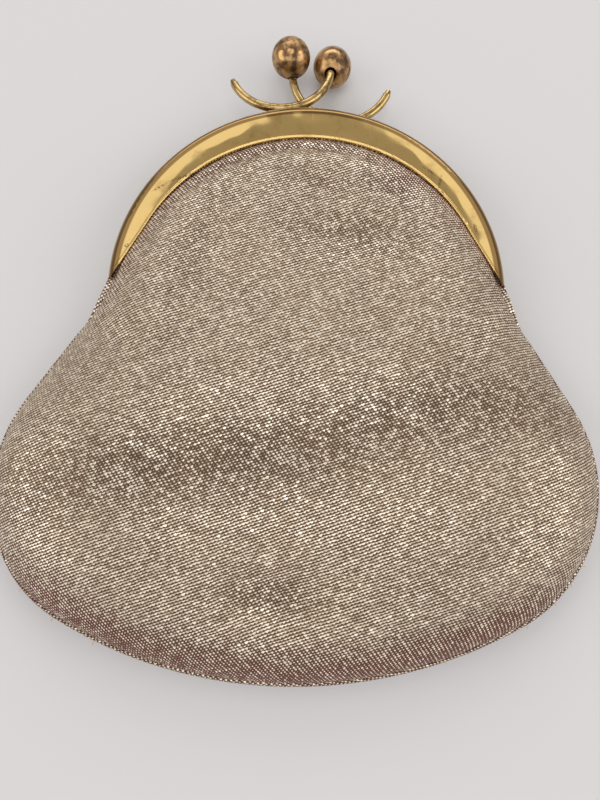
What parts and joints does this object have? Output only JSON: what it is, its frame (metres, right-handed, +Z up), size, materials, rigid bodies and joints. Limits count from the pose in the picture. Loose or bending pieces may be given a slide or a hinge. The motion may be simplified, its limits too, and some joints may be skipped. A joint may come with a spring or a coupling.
{
  "type": "kiss lock clutch",
  "caption": "Small woven metallic clutch with a half round hinged metal frame, closed by two crossing wire arms with round clasp balls; the front half swings open.",
  "frame": {"origin": "middle of the part's footprint, on the table it lies on", "axes": "+X along the hinge line, +Y from the pouch's bottom towards the clasp, +Z up, out of the front panel"},
  "size_m": [0.1508, 0.1736, 0.0195],
  "materials": {
    "frame_metal": "polished gold tone sheet, lightly worn",
    "clasp_wire": "gold tone wire, lightly worn",
    "tarnished_ball": "polished and tarnished",
    "rivet_metal": "satin",
    "woven_cloth": "woven with bright metallic strips",
    "lining_cloth": "satin",
    "paper_cord": "twisted paper, matt"
  },
  "bodies": {
    "back_half": {"back_frame": "frame_metal", "left_hinge_rivet": "rivet_metal", "right_hinge_rivet": "rivet_metal", "back_clasp_arm": "clasp_wire", "back_ball_cap": "tarnished_ball", "back_ball_cup": "tarnished_ball", "front_panel": "woven_cloth", "back_panel": "woven_cloth", "front_lining": "lining_cloth", "back_lining": "lining_cloth", "back_paper_cord": "paper_cord"},
    "front_half": {"front_frame": "frame_metal", "front_clasp_arm": "clasp_wire", "front_ball_cap": "tarnished_ball", "front_ball_cup": "tarnished_ball", "front_paper_cord": "paper_cord"}
  },
  "joints": [
    {"name": "frame_hinge", "type": "hinge", "parent": "back_half", "child": "front_half", "pos_m": [0, 0.00974, 0.0072], "axis": [1, 0, 0], "range_deg": [0, 80]}
  ]
}
